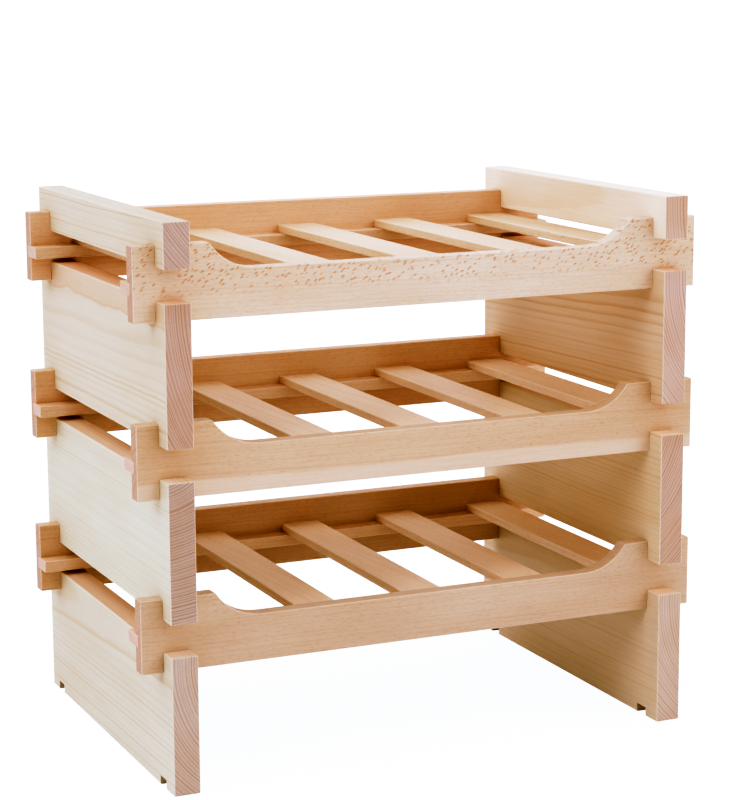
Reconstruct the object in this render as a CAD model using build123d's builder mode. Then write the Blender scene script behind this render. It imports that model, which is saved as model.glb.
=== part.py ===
"""Three-tier stackable wine rack of lapped boards, rails and slatted trays.

Millimetres. +X runs to the right along the rails, +Y to the rear along the boards, +Z up.
The origin is on the floor, at the middle of the rack's footprint.

Each tier is two side boards on edge with a tray lapped into their top edges. A tray is a front
rail and a rear rail, a batten glued into a groove in each rail, and slats screwed to the battens
from below. The next tier's boards are lapped into the tops of the same rails, and two low cap
boards close the stack. Gravity holds the laps shut.
"""

from build123d import *

import math
import os

# Tiers, from the floor up
tier_names = ["lower", "middle", "upper"]
slats_per_tray = 5

# Side boards and cap boards: on edge, running front to back
board_length = 360
board_thickness = 24
board_height = 123
cap_height = 39.5
width_over_boards = 502
board_edge_radius = 1.2

# Rails: on edge, running left to right
rail_length = 542
rail_thickness = 15
rail_height = 65
depth_over_rails = 318
rail_edge_radius = 1.0

# Lap joints: each lap is shared between a notch in the board and a notch in the rail
lap_clearance = 0.25
board_top_notch = 9
rail_bottom_notch = 9
rail_top_notch = 10
board_bottom_notch = 8.5

# The lowered middle of the front rail, with an arc at each end
scallop_depth = 23
scallop_radius = 50
scallop_shoulder = 24.5
shoulder_radius = 3

# Battens: each glued into a groove along its rail's inner face
batten_overhang = 0.5
batten_depth = 24
batten_height = 11
batten_above_rail_bottom = 22.5
batten_edge_radius = 1.0
groove_depth = 7

# Slats: on the battens, between the rails
slat_width = 39
slat_height = 8
slat_pitch = 104
slat_edge_radius = 1.2

# Countersunk screws, up through each batten into each slat
screw_length = 16
screw_shank_radius = 1.4
screw_head_radius = 3
screw_tip_length = 2.5
batten_hole_radius = 1.6
slat_hole_radius = 1.5
slat_hole_depth = 5.5
countersink_angle = 90
recess_radius = 0.7
recess_depth = 0.9

# Derived places
board_x = (width_over_boards - board_thickness) / 2
rail_y = (depth_over_rails - rail_thickness) / 2
rail_inner_y = rail_y - rail_thickness / 2
batten_y = rail_inner_y + groove_depth - batten_depth / 2
screw_y = rail_inner_y - (batten_depth - groove_depth) / 2
lower_lap = board_top_notch + rail_bottom_notch
upper_lap = rail_top_notch + board_bottom_notch
tier_pitch = board_height - lower_lap + rail_height - upper_lap
scallop_end_x = width_over_boards / 2 - board_thickness - scallop_shoulder
scallop_run = (scallop_radius**2 - (scallop_radius - scallop_depth) ** 2) ** 0.5
scallop_straight = 2 * (scallop_end_x - scallop_run)
slat_xs = [(i - (slats_per_tray - 1) / 2) * slat_pitch for i in range(slats_per_tray)]


def finish(piece, name):
    """Label one finished piece and write it."""
    piece.part.label = name
    export_step(piece.part, f"parts/{name}.step")


def make_board(name, x, bottom, height, has_top_notches):
    """A board on edge along Y, notched near both ends where the rails cross it."""
    face = Plane(origin=(x, 0, bottom), x_dir=(0, 1, 0), z_dir=(1, 0, 0))
    notch_width = rail_thickness + 2 * lap_clearance
    with BuildPart() as board:
        with BuildSketch(face):
            Rectangle(board_length, height, align=(Align.CENTER, Align.MIN))
        extrude(amount=board_thickness / 2, both=True)
        fillet(board.edges(), radius=board_edge_radius)
        with BuildSketch(face):
            with Locations((-rail_y, 0), (rail_y, 0)):
                Rectangle(notch_width, board_bottom_notch, align=(Align.CENTER, Align.MIN))
            if has_top_notches:
                with Locations((-rail_y, height), (rail_y, height)):
                    Rectangle(notch_width, board_top_notch, align=(Align.CENTER, Align.MAX))
        extrude(amount=board_thickness, both=True, mode=Mode.SUBTRACT)
    finish(board, name)


def make_rail(name, y, bottom, has_scallop):
    """A rail on edge along X, notched where the boards cross it and grooved for its batten."""
    face = Plane(origin=(0, y, bottom), x_dir=(1, 0, 0), z_dir=(0, -1, 0))
    inner_y = math.copysign(rail_inner_y, y)
    groove_bottom = bottom + batten_above_rail_bottom
    groove_section = Plane(origin=(0, inner_y, groove_bottom), x_dir=(0, 1, 0), z_dir=(1, 0, 0))
    notch_width = board_thickness + 2 * lap_clearance
    with BuildPart() as rail:
        with BuildSketch(face) as outline:
            Rectangle(rail_length, rail_height, align=(Align.CENTER, Align.MIN))
            if has_scallop:
                with Locations((0, rail_height - scallop_depth + scallop_radius)):
                    SlotCenterToCenter(scallop_straight, 2 * scallop_radius, mode=Mode.SUBTRACT)
                top_corners = outline.vertices().group_by(Axis.Y)[-1].sort_by(Axis.X)
                fillet(top_corners[1:3], radius=shoulder_radius)
        extrude(amount=rail_thickness / 2, both=True)
        fillet(rail.edges(), radius=rail_edge_radius)
        with BuildSketch(face):
            with Locations((-board_x, 0), (board_x, 0)):
                Rectangle(notch_width, rail_bottom_notch, align=(Align.CENTER, Align.MIN))
            with Locations((-board_x, rail_height), (board_x, rail_height)):
                Rectangle(notch_width, rail_top_notch, align=(Align.CENTER, Align.MAX))
        extrude(amount=rail_thickness, both=True, mode=Mode.SUBTRACT)
        with BuildSketch(groove_section):
            Rectangle(2 * groove_depth, batten_height, align=(Align.CENTER, Align.MIN))
        extrude(amount=rail_length, both=True, mode=Mode.SUBTRACT)
    finish(rail, name)


def make_batten(name, y, bottom):
    """A batten along X, with a countersunk hole from below under each slat."""
    hole_y = math.copysign(screw_y, y)
    with BuildPart() as batten:
        with BuildSketch(Plane.XY.offset(bottom)):
            with Locations((0, y)):
                Rectangle(rail_length + 2 * batten_overhang, batten_depth)
        extrude(amount=batten_height)
        fillet(batten.edges(), radius=batten_edge_radius)
        with Locations(Plane(origin=(0, hole_y, bottom), z_dir=(0, 0, -1))):
            with Locations([(x, 0) for x in slat_xs]):
                CounterSinkHole(
                    radius=batten_hole_radius,
                    counter_sink_radius=screw_head_radius,
                    counter_sink_angle=countersink_angle,
                )
    finish(batten, name)


def make_slat(name, x, bottom):
    """A flat slat along Y, with a blind screw hole in its underside over each batten."""
    with BuildPart() as slat:
        with BuildSketch(Plane.XY.offset(bottom)):
            with Locations((x, 0)):
                Rectangle(slat_width, 2 * rail_inner_y)
        extrude(amount=slat_height)
        fillet(slat.edges().filter_by(Axis.Y), radius=slat_edge_radius)
        with Locations(Plane(origin=(x, 0, bottom), z_dir=(0, 0, -1))):
            with Locations((0, -screw_y), (0, screw_y)):
                Hole(radius=slat_hole_radius, depth=slat_hole_depth)
    finish(slat, name)


def make_screws(name, bottom):
    """One tray's screws: a countersunk head, a plain shank, a point and a drive recess."""
    head_height = screw_head_radius - screw_shank_radius
    with BuildPart() as screws:
        for y in (-screw_y, screw_y):
            for x in slat_xs:
                with BuildSketch(Plane(origin=(x, y, bottom), x_dir=(1, 0, 0), z_dir=(0, -1, 0))):
                    with BuildLine():
                        Polyline(
                            (0, recess_depth),
                            (recess_radius, recess_depth),
                            (recess_radius, 0),
                            (screw_head_radius, 0),
                            (screw_shank_radius, head_height),
                            (screw_shank_radius, screw_length - screw_tip_length),
                            (0, screw_length),
                            close=True,
                        )
                    make_face()
                revolve(axis=Axis((x, y, bottom), (0, 0, 1)))
    finish(screws, name)


def make_tray(tier_name, rail_bottom):
    """Front and rear rails, their battens, the slats and the slats' screws."""
    batten_bottom = rail_bottom + batten_above_rail_bottom
    make_rail(f"{tier_name}_front_rail", -rail_y, rail_bottom, has_scallop=True)
    make_rail(f"{tier_name}_rear_rail", rail_y, rail_bottom, has_scallop=False)
    make_batten(f"{tier_name}_front_batten", -batten_y, batten_bottom)
    make_batten(f"{tier_name}_rear_batten", batten_y, batten_bottom)
    for number, x in enumerate(slat_xs, start=1):
        make_slat(f"{tier_name}_slat_{number}", x, batten_bottom + batten_height)
    make_screws(f"{tier_name}_slat_screws", batten_bottom)


os.makedirs("parts", exist_ok=True)

for level, tier_name in enumerate(tier_names):
    tier_bottom = level * tier_pitch
    make_board(f"{tier_name}_left_board", -board_x, tier_bottom, board_height, True)
    make_board(f"{tier_name}_right_board", board_x, tier_bottom, board_height, True)
    make_tray(tier_name, tier_bottom + board_height - lower_lap)

cap_bottom = len(tier_names) * tier_pitch
make_board("left_cap_board", -board_x, cap_bottom, cap_height, False)
make_board("right_cap_board", board_x, cap_bottom, cap_height, False)
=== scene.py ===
"""Looks of the three-tier stackable wine rack: solid procedural woods, zinc screws, light and camera.

Metres: +X to the right along the rails, +Y from the front to the rear, +Z up.
Every wood is a solid texture, so that lines run on from a piece's sides to its end grain. In it
u runs through the thickness of a board or rail, v along the grain and w across the width, all
measured from the piece's centre.
"""

import math

import bmesh
import bpy
from mathutils import Euler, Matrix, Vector


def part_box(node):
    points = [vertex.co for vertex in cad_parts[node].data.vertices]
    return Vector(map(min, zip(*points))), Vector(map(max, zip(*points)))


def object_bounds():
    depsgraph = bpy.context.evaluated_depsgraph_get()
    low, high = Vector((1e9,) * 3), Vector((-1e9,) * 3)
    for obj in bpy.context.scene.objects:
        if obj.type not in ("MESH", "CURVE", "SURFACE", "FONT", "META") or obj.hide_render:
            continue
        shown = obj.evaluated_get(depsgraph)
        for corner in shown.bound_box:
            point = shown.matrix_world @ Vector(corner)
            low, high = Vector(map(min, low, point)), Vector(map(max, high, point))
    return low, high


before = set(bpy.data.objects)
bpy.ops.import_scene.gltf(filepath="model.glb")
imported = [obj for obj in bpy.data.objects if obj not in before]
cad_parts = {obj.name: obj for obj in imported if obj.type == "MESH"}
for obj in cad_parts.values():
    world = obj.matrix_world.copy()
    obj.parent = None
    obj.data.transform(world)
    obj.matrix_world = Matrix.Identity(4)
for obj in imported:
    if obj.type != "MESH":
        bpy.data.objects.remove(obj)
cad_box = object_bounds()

# Stage: half the floor's width, the gap between its two sheets, how much of the veil covers the
# floor, and how brightly the veil, the backdrop dome and the surround shine
floor_reach = 12.0
sheet_gap = 0.0001
veil_share = 0.6
veil_glow = 1.28
dome_radius = 1.3 * floor_reach
dome_glow = 1.2
surround_glow = 0.06

# Lights: the direction each shines from, how many degrees across it is, and its strength
LIGHTS = {
    "left_top_light": {"source": (-0.7, 0, 0.7), "spread": 70, "strength": 1.27},
    "front_top_light": {"source": (0, -0.7, 0.7), "spread": 70, "strength": 0.45},
    "right_top_light": {"source": (0.7, 0, 0.7), "spread": 70, "strength": 0.50},
    "right_front_light": {"source": (0.7, -0.7, 0.2), "spread": 70, "strength": 0.97},
    "rear_light": {"source": (0, 1, 0.3), "spread": 90, "strength": 1.28},
}

# Camera: place, turns about X, Y and Z in degrees, and lens in millimetres
camera_place = (-0.87505, -1.9942, 0.70005)
camera_turns = (79.4838, 0.313, -24.1631)
lens_length = 105.41
sensor_width = 36.0

# View: how the light of each colour in the scene becomes the light shown
TONE_CURVES = {
    "red": [(0.03, 0.0), (0.10, 0.028), (0.17, 0.121), (0.26, 0.335),
            (0.38, 0.580), (0.52, 0.755), (0.69, 0.89)],
    "green": [(0.04, 0.0), (0.10, 0.032), (0.17, 0.133), (0.26, 0.315),
              (0.38, 0.580), (0.52, 0.790), (0.69, 0.92)],
    "blue": [(0.06, 0.0), (0.10, 0.014), (0.17, 0.110), (0.26, 0.345),
             (0.38, 0.660), (0.52, 0.860), (0.69, 0.95)],
}

# A height or edge that no piece reaches, and a tint that changes nothing
NOWHERE = 1.0
UNTINTED = (1, 1, 1, 1)

# A face counts as square to a direction once this much of its normal points that way
square_from, square_to = 0.70, 0.97
# A painted highlight on the eased edges shows where the normal leaves the main directions by this much,
# and pales the wood by at most the share below
rim_from, rim_to = 0.15, 0.45
rim_highlight_share = 0.40

# Growth rings, and the surface's relief
spruce_ring_width = 0.0026
beech_ring_width = 0.0032
relief_strength = 0.35
relief_depth = 0.00025
fleck_slant = math.radians(-30)

# For each board: where the heart of its tree lies from its centre, across (u) and up (w); how far
# the heart wanders across and up for each metre along; how strong its rings are; the tints of its
# sides and of its end grain; and the height that its heartwood starts at. The tints are partly the
# wood's own colour and partly painted light, making up for light and shade that fall on each board
# differently
BOARD_LOOKS = {
    "lower_left_board": {"pith": (0.105, 0.050), "lean": (0.008, 0.012), "figure": 0.28,
                         "tint": (0.94, 0.96, 0.95, 1), "end_tint": (1.02, 1.05, 1.06, 1)},
    "middle_left_board": {"pith": (-0.022, 0.103), "lean": (0.002, 0.006), "figure": 0.28,
                          "tint": (0.96, 1.00, 0.99, 1), "end_tint": (0.91, 0.90, 0.92, 1)},
    "upper_left_board": {"pith": (0.228, 0.061), "lean": (0.007, 0.006), "figure": 0.34,
                         "tint": (0.94, 0.92, 0.89, 1), "end_tint": (0.96, 0.88, 0.87, 1),
                         "band_edge": 0.048},
    "left_cap_board": {"pith": (0.115, 0.090), "lean": (0.006, 0.008), "figure": 0.30,
                       "tint": (0.94, 0.91, 0.87, 1), "end_tint": (0.95, 0.92, 0.94, 1)},
    "lower_right_board": {"pith": (0.110, 0.050), "lean": (0.008, 0.012), "figure": 0.16,
                          "tint": (1.04, 0.98, 0.95, 1), "end_tint": (1.12, 1.11, 1.10, 1)},
    "middle_right_board": {"pith": (-0.157, 0.107), "lean": (0.004, 0.010), "figure": 0.22,
                           "tint": (1.09, 1.02, 0.96, 1), "end_tint": (1.04, 0.96, 0.94, 1)},
    "upper_right_board": {"pith": (0.140, 0.055), "lean": (0.010, 0.012), "figure": 0.38,
                          "tint": (1.01, 0.90, 0.85, 1), "end_tint": (1.13, 1.07, 1.08, 1)},
    "right_cap_board": {"pith": (0.180, 0.010), "lean": (0.012, 0.010), "figure": 0.30,
                        "tint": (1.25, 1.21, 1.22, 1), "end_tint": (1.13, 1.06, 1.03, 1)},
}

# For each rail: its tint, how strong its ray flecks are, the height they start at, and the height
# that its paler wood ends at. The tints are partly the wood's own colour and partly painted light,
# as for the boards
RAIL_LOOKS = {
    "upper_front_rail": {"tint": (1.10, 1.15, 1.32, 1), "figure": 1.0, "flecks_above": -0.012},
    "middle_front_rail": {"tint": (0.96, 0.92, 0.99, 1), "figure": 0.14, "flecks_above": 0.010,
                          "band_edge": -0.011},
    "lower_front_rail": {"tint": (0.93, 0.93, 1.04, 1), "figure": 0.20, "flecks_above": 0.008},
    "upper_rear_rail": {"tint": (1.18, 1.08, 1.17, 1)},
    "middle_rear_rail": {"tint": (1.09, 1.01, 1.06, 1), "figure": 0.12, "flecks_above": -NOWHERE},
    "lower_rear_rail": {"tint": (0.98, 0.90, 0.94, 1), "figure": 0.12, "flecks_above": -NOWHERE},
}
# The tints of the rails' end grain and of the battens are likewise partly the wood's own colour and
# partly painted light
RAIL_END_TINT = (0.94, 1.0, 1.11, 1)

BATTEN_TINT = (1.12, 1.07, 1.16, 1)
BATTEN_END_TINT = (1.18, 1.30, 1.54, 1)
# The lower and middle slats share a brighter tint than the upper slats: partly the wood's own colour
# and partly painted light, which lifts the slats that lie in the shade of the trays above
SLAT_TINT = (1.20, 1.22, 1.37, 1)
UPPER_SLAT_TINT = (1.13, 1.15, 1.25, 1)

# Painted warm bounce light: the side boards' top and bottom edges are tinted rosier than their sides,
# as light reflected between the wooden parts colours them
BOARD_EDGE_BOUNCE_TINT = (1.13, 0.97, 0.96, 1)

GRAIN_ALONG_Y = (0, 0, 0)
GRAIN_ALONG_X = (0, 0, math.radians(90))


class Graph:
    """Adds linked nodes to one node tree."""

    def __init__(self, tree):
        self.tree = tree

    def put(self, socket, value):
        """Feed an input from another node's output, or set it."""
        if isinstance(value, bpy.types.NodeSocket):
            self.tree.links.new(value, socket)
        elif value is not None:
            socket.default_value = value

    def node(self, kind, inputs=None, **settings):
        made = self.tree.nodes.new(kind)
        for name, value in settings.items():
            setattr(made, name, value)
        for key, value in (inputs or {}).items():
            self.put(made.inputs[key], value)
        return made

    def math(self, operation, a, b=None):
        return self.node("ShaderNodeMath", {0: a, 1: b}, operation=operation).outputs[0]

    def vector(self, operation, a, b=None):
        return self.node("ShaderNodeVectorMath", {0: a, 1: b}, operation=operation).outputs["Vector"]

    def length(self, a):
        return self.node("ShaderNodeVectorMath", {0: a}, operation="LENGTH").outputs["Value"]

    def grown(self, a, amount):
        """A vector times a number that may come from a node."""
        made = self.node("ShaderNodeVectorMath", {0: a, "Scale": amount}, operation="SCALE")
        return made.outputs["Vector"]

    def parts(self, a):
        return self.node("ShaderNodeSeparateXYZ", {0: a}).outputs

    def noise(self, place, scale, detail=2.0, roughness=0.5):
        """Cloudy noise, 0 to 1, with its own scale along u, v and w."""
        stretched = self.vector("MULTIPLY", place, scale)
        inputs = {"Vector": stretched, "Scale": 1.0, "Detail": detail, "Roughness": roughness}
        return self.node("ShaderNodeTexNoise", inputs).outputs

    def step(self, value, low, high, to_low=0.0, to_high=1.0):
        """A smooth step from to_low at low to to_high at high."""
        inputs = {"Value": value, 1: low, 2: high, 3: to_low, 4: to_high}
        made = self.node("ShaderNodeMapRange", inputs, interpolation_type="SMOOTHSTEP")
        return made.outputs["Result"]

    def mix(self, share, a, b, blend="MIX"):
        made = self.node("ShaderNodeMix", data_type="RGBA", blend_type=blend)
        self.put(made.inputs["Factor"], share)
        self.put(made.inputs[6], a)
        self.put(made.inputs[7], b)
        return made.outputs[2]

    def stain(self, base, mask, strength, colour):
        """Colour over base where the mask is 1, never more than strength."""
        return self.mix(self.math("MULTIPLY", mask, strength), base, colour)


def rgb(red, green, blue):
    """A colour socket's value from a colour as a screen shows it, 0 to 255."""
    def linear(shown):
        share = shown / 255
        return share / 12.92 if share <= 0.04045 else ((share + 0.055) / 1.055) ** 2.4
    return (linear(red), linear(green), linear(blue), 1.0)


def wood_group(name):
    """An empty group with every wood's inputs and outputs, and the places its nodes start from."""
    tree = bpy.data.node_groups.new(name, "ShaderNodeTree")
    for label, kind in [
        ("Centre", "NodeSocketVector"),
        ("Turn", "NodeSocketVector"),
        ("Pith", "NodeSocketVector"),
        ("Lean", "NodeSocketVector"),
        ("Seed", "NodeSocketFloat"),
        ("Figure", "NodeSocketFloat"),
        ("Flecks above", "NodeSocketFloat"),
        ("Band edge", "NodeSocketFloat"),
        ("Tint", "NodeSocketColor"),
        ("End tint", "NodeSocketColor"),
        ("Edge bounce tint", "NodeSocketColor"),
    ]:
        tree.interface.new_socket(label, in_out="INPUT", socket_type=kind)
    for label, kind in [
        ("Color", "NodeSocketColor"),
        ("Roughness", "NodeSocketFloat"),
        ("Height", "NodeSocketFloat"),
    ]:
        tree.interface.new_socket(label, in_out="OUTPUT", socket_type=kind)
    graph = Graph(tree)
    given = graph.node("NodeGroupInput").outputs
    found = graph.node("ShaderNodeTexCoord").outputs
    from_centre = graph.vector("SUBTRACT", found["Object"], given["Centre"])
    place = graph.node("ShaderNodeMapping", {"Vector": from_centre, "Rotation": given["Turn"]})
    facing = graph.node("ShaderNodeMapping", {"Vector": found["Normal"], "Rotation": given["Turn"]},
                        vector_type="VECTOR")
    shifted = graph.vector("ADD", place.outputs["Vector"], graph.grown((3.1, 7.7, 5.3), given["Seed"]))
    normal = graph.parts(facing.outputs["Vector"])
    across, along, up = (graph.math("ABSOLUTE", part) for part in normal)
    end_face = graph.step(along, square_from, square_to)
    edge_face = graph.step(up, square_from, square_to)
    # The rim mask for the painted edge highlight: normals that turn between the main directions
    turned = graph.math("MINIMUM", across, graph.math("MAXIMUM", along, up))
    highlight_rim = graph.step(turned, rim_from, rim_to)
    return graph, given, place.outputs["Vector"], shifted, end_face, edge_face, highlight_rim


def distance_from_pith(graph, given, place, shifted):
    """How far a point lies from the tree's heart, which leans and wavers along the grain."""
    drift = graph.grown(given["Lean"], graph.parts(place)["Y"])
    offset = graph.vector("ADD", graph.vector("SUBTRACT", place, given["Pith"]), drift)
    broad_waver, fine_waver = ((8, 3, 8), 0.0040), ((40, 14, 40), 0.0010)
    for scale, reach in (broad_waver, fine_waver):
        clouds = graph.noise(shifted, scale, detail=1.5)["Color"]
        wander = graph.grown(graph.vector("SUBTRACT", clouds, (0.5, 0.5, 0.5)), reach)
        offset = graph.vector("ADD", offset, wander)
    return graph.length(graph.vector("MULTIPLY", offset, (1, 0, 1)))


def ring_layers(graph, distance, seed, ring_width, unevenness):
    """Position inside a growth ring, 0 to 1, and a number that each ring has for itself."""
    slow = graph.node("ShaderNodeTexNoise",
                      {"W": graph.math("ADD", distance, seed), "Scale": 90.0, "Detail": 1.0},
                      noise_dimensions="1D").outputs[0]
    count = graph.math("DIVIDE", distance, ring_width)
    count = graph.math("ADD", count, graph.math("MULTIPLY", slow, unevenness))
    inside = graph.math("FRACT", count)
    number = graph.math("ADD", graph.math("FLOOR", count), seed)
    own = graph.node("ShaderNodeTexWhiteNoise", {"W": number}, noise_dimensions="1D").outputs["Value"]
    return inside, own


def scattered_spots(graph, shifted, scale, chosen_from, edge, core):
    """Soft-edged spots, one in each chosen cell of those that fill the wood."""
    cells = graph.node("ShaderNodeTexVoronoi",
                       {"Vector": graph.vector("MULTIPLY", shifted, scale), "Scale": 1.0})
    chosen = graph.step(graph.parts(cells.outputs["Color"])["X"], chosen_from, chosen_from + 0.04)
    return graph.math("MULTIPLY", graph.step(cells.outputs["Distance"], edge, core), chosen)


def close_group(graph, given, side, end, end_face, edge_face, highlight_rim, shade, roughness, height):
    """Tint the wood, paint warm bounce light on faces turned up or down, join its sides and ends, paint
    a pale highlight on its eased edges, and hand it out.
    """
    side = graph.mix(1.0, side, given["Tint"], "MULTIPLY")
    # Painted warm bounce light: faces turned up or down take the edge tint, which only the side boards
    # have
    side = graph.mix(edge_face, side, given["Edge bounce tint"], "MULTIPLY")
    end = graph.mix(1.0, end, given["End tint"], "MULTIPLY")
    colour = graph.mix(1.0, graph.mix(end_face, side, end), shade, "MULTIPLY")
    # Painted highlight: the eased edges are paled towards a light pinkish white, as if they caught the
    # light
    highlighted_edges = graph.stain(colour, highlight_rim, rim_highlight_share, rgb(240, 222, 208))
    graph.node("NodeGroupOutput", {"Color": highlighted_edges, "Roughness": roughness, "Height": height})
    return graph.tree


def spruce_group():
    """Planed spruce: cream with soft tan rings, and rosier with finer rings on its end grain."""
    graph, given, place, shifted, end_face, edge_face, highlight_rim = wood_group("spruce")
    distance = distance_from_pith(graph, given, place, shifted)
    inside, own = ring_layers(graph, distance, given["Seed"], spruce_ring_width, unevenness=2.0)

    # Each ring darkens outwards and ends sharply: soft lines for the sides, hard for the end grain
    fall = graph.step(inside, 1.0, 0.90)
    soft = graph.math("MULTIPLY", graph.step(inside, 0.40, 0.88), fall)
    soft = graph.math("MULTIPLY", soft, graph.step(own, 0.0, 1.0, 0.20, 1.0))
    hard = graph.math("MULTIPLY", graph.step(inside, 0.35, 0.88), fall)
    hard = graph.math("MULTIPLY", hard, graph.step(own, 0.0, 1.0, 0.45, 1.0))

    fibres = graph.noise(shifted, (900, 14, 900), detail=3.0)[0]
    clouds = graph.noise(shifted, (16, 4, 16), detail=2.0)[0]
    waves = graph.noise(shifted, (0, 22, 0), detail=1.6)[0]
    dashes = graph.step(graph.noise(shifted, (600, 70, 600), detail=1.0)[0], 0.66, 0.80)
    knots = scattered_spots(graph, shifted, (30, 14, 30), 0.90, 0.13, 0.04)

    # Heartwood: a warmer band above a wavy edge, which is a darker line
    above = graph.math("SUBTRACT", graph.parts(place)["Z"], given["Band edge"])
    above = graph.math("ADD", above, graph.math("MULTIPLY", waves, 0.017))
    warm = graph.step(above, 0.0, 0.0020)
    line = graph.math("MULTIPLY", warm, graph.step(above, 0.0040, 0.0008))

    cream, pale_cream, ring_tan, dash_tan = [
        rgb(216, 202, 184), rgb(221, 210, 195), rgb(187, 138, 90), rgb(186, 138, 95)]
    heartwood, heart_line, knot_brown = rgb(214, 158, 128), rgb(182, 124, 84), rgb(158, 100, 58)
    end_pale, end_dull, end_ring = rgb(198, 181, 170), rgb(193, 173, 160), rgb(157, 117, 100)
    side = graph.mix(graph.step(clouds, 0.3, 0.7), cream, pale_cream)
    side = graph.stain(side, warm, 0.28, heartwood)
    side = graph.stain(side, line, 0.22, heart_line)
    side = graph.stain(side, soft, given["Figure"], ring_tan)
    side = graph.stain(side, dashes, 0.16, dash_tan)
    side = graph.stain(side, knots, 0.75, knot_brown)
    end = graph.mix(graph.step(clouds, 0.35, 0.65), end_pale, end_dull)
    end = graph.stain(end, hard, 0.55, end_ring)
    shade = graph.mix(graph.step(fibres, 0.3, 0.7), (0.95, 0.94, 0.93, 1), UNTINTED)

    roughness = graph.step(graph.math("ADD", fibres, graph.math("MULTIPLY", end_face, 0.5)),
                           0.3, 1.1, 0.52, 0.74)
    height = graph.math("ADD", graph.math("MULTIPLY", fibres, 0.6), graph.math("MULTIPLY", soft, 0.4))
    return close_group(graph, given, side, end, end_face, edge_face, highlight_rim, shade, roughness, height)


def beech_group():
    """Planed beech: pinkish tan, with fine dashes along the grain and slanting ray flecks."""
    graph, given, place, shifted, end_face, edge_face, highlight_rim = wood_group("beech")
    distance = distance_from_pith(graph, given, place, shifted)
    inside, own = ring_layers(graph, distance, given["Seed"], beech_ring_width, unevenness=1.6)
    line = graph.math("MULTIPLY", graph.step(inside, 0.40, 0.92), graph.step(inside, 1.0, 0.94))
    line = graph.math("MULTIPLY", line, graph.step(own, 0.1, 1.0, 0.15, 1.0))

    fibres = graph.noise(shifted, (1100, 22, 1100), detail=3.0)[0]
    clouds = graph.noise(shifted, (18, 5, 18), detail=2.0)[0]
    dashes = graph.step(graph.noise(shifted, (1100, 190, 1300), detail=1.5)[0], 0.54, 0.72)

    # Ray flecks: short ragged spots, slanting across the grain, above a cloudy edge
    slanted = graph.node("ShaderNodeMapping",
                         {"Vector": shifted, "Rotation": (fleck_slant, 0, 0)}).outputs["Vector"]
    ragged = graph.noise(shifted, (420, 420, 420), detail=2.0)["Color"]
    ragged = graph.vector("SUBTRACT", ragged, (0.5, 0.5, 0.5))
    slanted = graph.vector("ADD", slanted, graph.grown(ragged, 0.0022))
    flecks = scattered_spots(graph, slanted, (60, 150, 410), 0.22, 0.40, 0.16)
    height_up = graph.math("ADD", graph.parts(place)["Z"], graph.math("MULTIPLY", clouds, 0.012))
    reached = graph.step(graph.math("SUBTRACT", height_up, given["Flecks above"]), 0.0, 0.012)
    flecks = graph.math("MULTIPLY", graph.math("MULTIPLY", flecks, reached), given["Figure"])

    # Paler wood below the band's edge
    pale = graph.step(graph.math("SUBTRACT", given["Band edge"], height_up), 0.0, 0.003)

    tan, pale_tan, band_cream = rgb(211, 184, 156), rgb(218, 195, 168), rgb(234, 218, 196)
    ring_brown, dash_brown, fleck_brown = rgb(180, 134, 98), rgb(172, 122, 87), rgb(186, 124, 92)
    end_pale, end_ring, end_dash = rgb(200, 166, 144), rgb(188, 149, 126), rgb(160, 110, 86)
    side = graph.mix(graph.step(clouds, 0.25, 0.75), tan, pale_tan)
    side = graph.stain(side, line, 0.16, ring_brown)
    side = graph.stain(side, dashes, 0.22, dash_brown)
    side = graph.stain(side, pale, 0.48, band_cream)
    side = graph.stain(side, flecks, 0.66, fleck_brown)
    end = graph.mix(line, end_pale, end_ring)
    end = graph.stain(end, dashes, 0.18, end_dash)
    shade = graph.mix(graph.step(fibres, 0.3, 0.7), (0.95, 0.93, 0.91, 1), UNTINTED)

    roughness = graph.step(graph.math("ADD", fibres, graph.math("MULTIPLY", end_face, 0.4)),
                           0.3, 1.1, 0.46, 0.70)
    height = graph.math("SUBTRACT", graph.math("MULTIPLY", fibres, 0.6),
                        graph.math("MULTIPLY", dashes, 0.5))
    return close_group(graph, given, side, end, end_face, edge_face, highlight_rim, shade, roughness, height)


def wood_material(name, group, node, seed, turn, pith, lean, tint, end_tint, edge_bounce_tint=UNTINTED,
                  figure=0.0, band_edge=-NOWHERE, flecks_above=NOWHERE):
    """One piece's wood: its own cut from the solid, on a matt planed surface."""
    material = bpy.data.materials.new(name)
    material.use_nodes = True
    graph = Graph(material.node_tree)
    shader = next(n for n in graph.tree.nodes if n.type == "BSDF_PRINCIPLED")
    low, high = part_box(node)
    wood = graph.node("ShaderNodeGroup", node_tree=group)
    for label, value in [
        ("Centre", (low + high) / 2),
        ("Turn", turn),
        ("Pith", (pith[0], 0, pith[1])),
        ("Lean", (lean[0], 0, lean[1])),
        ("Seed", seed),
        ("Figure", figure),
        ("Flecks above", flecks_above),
        ("Band edge", band_edge),
        ("Tint", tint),
        ("End tint", end_tint),
        ("Edge bounce tint", edge_bounce_tint),
    ]:
        wood.inputs[label].default_value = value
    relief = graph.node("ShaderNodeBump", {"Height": wood.outputs["Height"],
                                           "Strength": relief_strength, "Distance": relief_depth})
    graph.put(shader.inputs["Base Color"], wood.outputs["Color"])
    graph.put(shader.inputs["Roughness"], wood.outputs["Roughness"])
    graph.put(shader.inputs["Normal"], relief.outputs["Normal"])
    shader.inputs["Specular IOR Level"].default_value = 0.3
    return material


def spruce_board(node, group, seed):
    """A board's or cap board's spruce: its grain runs front to back."""
    # Only the side boards, not the cap boards, get the painted warm bounce light on their top and
    # bottom edges
    edge_bounce_tint = UNTINTED if "cap" in node else BOARD_EDGE_BOUNCE_TINT
    look = {"band_edge": NOWHERE, "edge_bounce_tint": edge_bounce_tint, **BOARD_LOOKS[node]}
    return wood_material(f"spruce_{node}", group, node, seed, GRAIN_ALONG_Y, **look)


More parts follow.
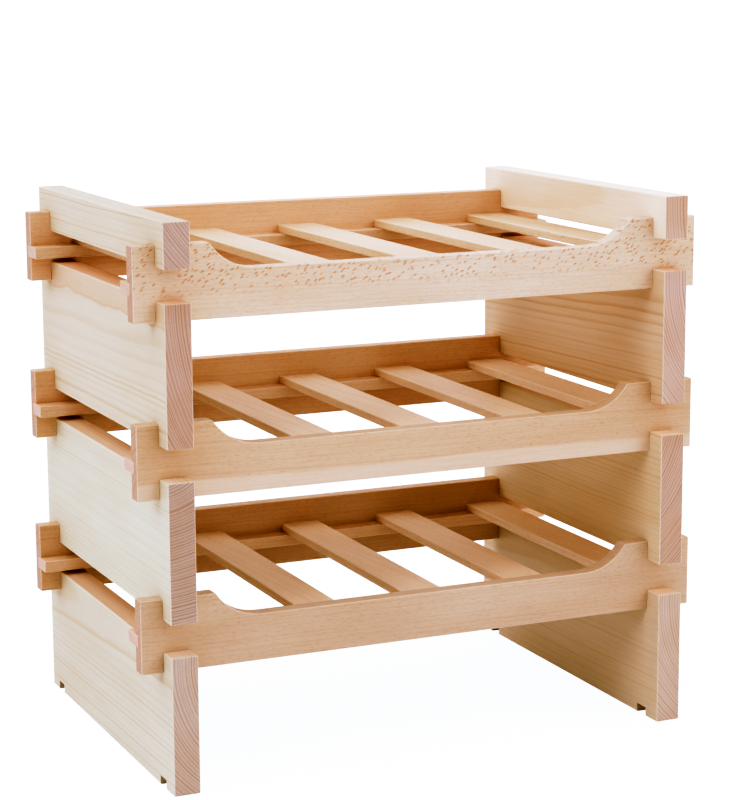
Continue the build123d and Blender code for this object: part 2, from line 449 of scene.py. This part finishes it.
def beech_rail(node, group, seed):
    """A rail's beech: its grain runs left to right."""
    return wood_material(f"beech_{node}", group, node, seed, GRAIN_ALONG_X, (0.06, -0.09), (0.01, 0.02),
                         end_tint=RAIL_END_TINT, **RAIL_LOOKS[node])


def beech_batten(node, group, seed):
    """A batten's beech, plain and a little paler on its ends."""
    return wood_material(f"beech_{node}", group, node, seed, GRAIN_ALONG_X, (0.03, 0.08), (0.01, 0.01),
                         BATTEN_TINT, BATTEN_END_TINT)


def beech_slat(node, group, seed):
    """A slat's beech: its grain runs front to back."""
    # Partly painted light: the slats under the upper tray take the brighter tint
    tint = UPPER_SLAT_TINT if node.startswith("upper") else SLAT_TINT
    return wood_material(f"beech_{node}", group, node, seed, GRAIN_ALONG_Y, (0.02, 0.07), (0.02, 0.02),
                         tint, tint)


def zinc_steel():
    """Zinc-plated steel: a grey with faint mottling, and fine turning marks in its roughness."""
    material = bpy.data.materials.new("zinc_steel")
    material.use_nodes = True
    graph = Graph(material.node_tree)
    shader = next(n for n in graph.tree.nodes if n.type == "BSDF_PRINCIPLED")
    place = graph.node("ShaderNodeTexCoord").outputs["Object"]
    mottle = graph.noise(place, (900, 900, 900), detail=3.0)[0]
    marks = graph.noise(place, (300, 300, 4000), detail=1.0)[0]
    colour = graph.mix(mottle, rgb(188, 186, 178), rgb(214, 212, 204))
    relief = graph.node("ShaderNodeBump", {"Height": marks, "Strength": 0.3, "Distance": 0.0001})
    graph.put(shader.inputs["Base Color"], colour)
    graph.put(shader.inputs["Roughness"], graph.step(marks, 0.3, 0.7, 0.28, 0.42))
    graph.put(shader.inputs["Normal"], relief.outputs["Normal"])
    shader.inputs["Metallic"].default_value = 1.0
    return material


def give(node, material):
    """Show one CAD node in one material."""
    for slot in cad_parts[node].material_slots:
        slot.material = material


def dress_rack():
    """Give every CAD node its own cut of wood, and the screws their steel."""
    spruce, beech, steel = spruce_group(), beech_group(), zinc_steel()
    for seed, node in enumerate(sorted(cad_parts), start=1):
        if node.endswith("board"):
            give(node, spruce_board(node, spruce, seed))
        elif node.endswith("rail"):
            give(node, beech_rail(node, beech, seed))
        elif node.endswith("batten"):
            give(node, beech_batten(node, beech, seed))
        elif node.endswith("screws"):
            give(node, steel)
        else:
            give(node, beech_slat(node, beech, seed))


def floor_material():
    """A matt white floor with a very faint unevenness."""
    material = bpy.data.materials.new("white_floor")
    material.use_nodes = True
    graph = Graph(material.node_tree)
    shader = next(n for n in graph.tree.nodes if n.type == "BSDF_PRINCIPLED")
    place = graph.node("ShaderNodeTexCoord").outputs["Object"]
    clouds = graph.noise(place, (3, 3, 3), detail=3.0)[0]
    white = graph.mix(clouds, (0.93, 0.93, 0.93, 1), (0.95, 0.95, 0.95, 1))
    graph.put(shader.inputs["Base Color"], white)
    shader.inputs["Roughness"].default_value = 0.9
    shader.inputs["Specular IOR Level"].default_value = 0.0
    return material


def level_sheet(name, height, material):
    """A large level square around the rack, which is stage and not part of it."""
    mesh = bpy.data.meshes.new(name)
    corners = [(-1, -1), (1, -1), (1, 1), (-1, 1)]
    mesh.from_pydata([(x * floor_reach, y * floor_reach, 0) for x, y in corners], [], [(0, 1, 2, 3)])
    mesh.materials.append(material)
    sheet = bpy.data.objects.new(name, mesh)
    sheet.location.z = height
    bpy.context.scene.collection.objects.link(sheet)
    return sheet


def show_to_camera_only(obj):
    """Keep an object out of every ray but the camera's, so that it lights and shades nothing."""
    for sees in ("diffuse", "glossy", "transmission", "volume_scatter", "shadow"):
        setattr(obj, "visible_" + sees, False)


def veil_material():
    """A white glow that the floor shows faintly through."""
    material = bpy.data.materials.new("white_veil")
    material.use_nodes = True
    graph = Graph(material.node_tree)
    glow = graph.node("ShaderNodeEmission", {"Color": (1, 1, 1, 1), "Strength": veil_glow})
    clear = graph.node("ShaderNodeBsdfTransparent")
    both = graph.node("ShaderNodeMixShader", {0: veil_share, 1: clear.outputs[0], 2: glow.outputs[0]})
    ending = next(n for n in graph.tree.nodes if n.type == "OUTPUT_MATERIAL")
    graph.put(ending.inputs["Surface"], both.outputs[0])
    return material


def make_floor():
    """A white floor, with a veil over it that pales the rack's shadow for the camera."""
    level_sheet("floor", cad_box[0][2] - 2 * sheet_gap, floor_material())
    show_to_camera_only(level_sheet("veil", cad_box[0][2] - sheet_gap, veil_material()))


def make_world():
    """An even white surround."""
    world = bpy.data.worlds.new("white_surround")
    world.use_nodes = True
    sky = world.node_tree.nodes["Background"]
    sky.inputs["Color"].default_value = (1, 1, 1, 1)
    sky.inputs["Strength"].default_value = surround_glow
    bpy.context.scene.world = world


def make_backdrop():
    """A bright white paper dome behind everything, which only the camera sees."""
    dome = bmesh.new()
    bmesh.ops.create_icosphere(dome, subdivisions=4, radius=dome_radius)
    mesh = bpy.data.meshes.new("backdrop")
    dome.to_mesh(mesh)
    dome.free()
    backdrop = bpy.data.objects.new("backdrop", mesh)
    bpy.context.scene.collection.objects.link(backdrop)
    show_to_camera_only(backdrop)
    paper = bpy.data.materials.new("white_paper")
    paper.use_nodes = True
    shader = next(n for n in paper.node_tree.nodes if n.type == "BSDF_PRINCIPLED")
    shader.inputs["Emission Color"].default_value = (1, 1, 1, 1)
    shader.inputs["Emission Strength"].default_value = dome_glow
    mesh.materials.append(paper)


def soft_sun(name, source, spread, strength):
    """A wide soft light, the same everywhere, from the direction source, spread degrees across."""
    light = bpy.data.lights.new(name, "SUN")
    light.energy, light.angle = strength, math.radians(spread)
    lamp = bpy.data.objects.new(name, light)
    lamp.rotation_euler = Vector(source).to_track_quat("Z", "Y").to_euler()
    bpy.context.scene.collection.objects.link(lamp)


def make_camera():
    """The camera, a little to the left of the rack's front and above it."""
    lens = bpy.data.cameras.new("camera")
    lens.lens, lens.sensor_width = lens_length, sensor_width
    camera = bpy.data.objects.new("camera", lens)
    camera.location = camera_place
    camera.rotation_euler = Euler([math.radians(turn) for turn in camera_turns], "XYZ")
    bpy.context.scene.collection.objects.link(camera)
    bpy.context.scene.camera = camera


def set_exposure():
    """A contrasty photographic print: a hard toe, a steep middle and bright whites."""
    view = bpy.context.scene.view_settings
    view.view_transform = "Standard"
    view.look = "None"
    view.exposure = 0.0
    view.gamma = 1.0
    view.use_curve_mapping = True
    for curve, points in zip(view.curve_mapping.curves, TONE_CURVES.values()):
        for light, shown in points:
            curve.points.new(light, shown)
    view.curve_mapping.update()


dress_rack()
make_floor()
make_backdrop()
make_world()
for name, light in LIGHTS.items():
    soft_sun(name, **light)
make_camera()
set_exposure()
